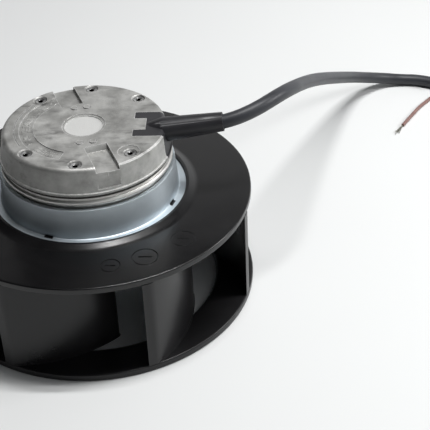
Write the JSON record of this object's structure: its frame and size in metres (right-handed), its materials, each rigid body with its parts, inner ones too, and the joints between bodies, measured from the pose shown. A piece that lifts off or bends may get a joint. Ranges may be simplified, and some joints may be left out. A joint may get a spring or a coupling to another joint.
{
  "type": "centrifugal cooling fan",
  "caption": "Motorised cooling fan: black wheel with backward-curved blades on an external-rotor motor with a cast cover and a mains cable",
  "frame": {"origin": "on the shaft axis, at the lower face of the inlet ring that the fan stands on", "axes": "+Z along the shaft away from the inlet, +X towards the cable outlet"},
  "size_m": [0.3542, 0.3742, 0.1199],
  "materials": {
    "cast_aluminium": "cast",
    "zinc_sheet": "zinc plated",
    "steel": "ground",
    "black_plastic": "satin",
    "black_rubber": "matt",
    "laminated_steel": "rolled",
    "copper_wire": "enamelled",
    "slot_liner": "moulded",
    "magnet": "sintered",
    "cage_brass": "pressed",
    "board": "solder mask",
    "board_parts": "moulded",
    "lead_brown": "extruded",
    "lead_blue": "extruded",
    "lead_green_yellow": "extruded",
    "tinned_wire": "tinned"
  },
  "bodies": {
    "stator": {"electronics_cover": "cast_aluminium", "cover_gasket": "black_rubber", "cover_screws": "steel", "stator_flange": "cast_aluminium", "cable_gland": "black_plastic", "circuit_board": "board", "capacitors": "board_parts", "choke": "board_parts", "power_module": "board_parts", "terminal_block": "board_parts", "stator_core": "laminated_steel", "upper_insulator": "slot_liner", "lower_insulator": "slot_liner", "stator_windings": "copper_wire", "upper_outer_ring": "steel", "lower_outer_ring": "steel", "preload_spring": "steel", "power_cable": "black_rubber", "lead_brown": "lead_brown", "lead_blue": "lead_blue", "lead_earth": "lead_green_yellow", "lead_ends": "tinned_wire"},
    "rotor": {"rotor_can": "zinc_sheet", "wheel_collar": "zinc_sheet", "rotor_magnets": "magnet", "shaft": "steel", "shaft_circlip": "steel", "upper_inner_ring": "steel", "lower_inner_ring": "steel", "back_plate": "black_plastic", "blade_1": "black_plastic", "blade_2": "black_plastic", "blade_3": "black_plastic", "blade_4": "black_plastic", "blade_5": "black_plastic", "blade_6": "black_plastic", "blade_7": "black_plastic", "inlet_ring": "black_plastic"},
    "bearing_cages": {"upper_balls": "steel", "lower_balls": "steel", "upper_cage": "cage_brass", "lower_cage": "cage_brass"}
  },
  "joints": [
    {"name": "rotor_spin", "type": "hinge", "parent": "stator", "child": "rotor", "pos_m": [0, 0, 0.06], "axis": [0, 0, 1], "continuous": true},
    {"name": "cage_spin", "type": "hinge", "parent": "stator", "child": "bearing_cages", "pos_m": [0, 0, 0.06], "axis": [0, 0, 1], "continuous": true}
  ],
  "couplings": [
    {"joint": "cage_spin", "follows": "rotor_spin", "ratio": 0.3677}
  ]
}
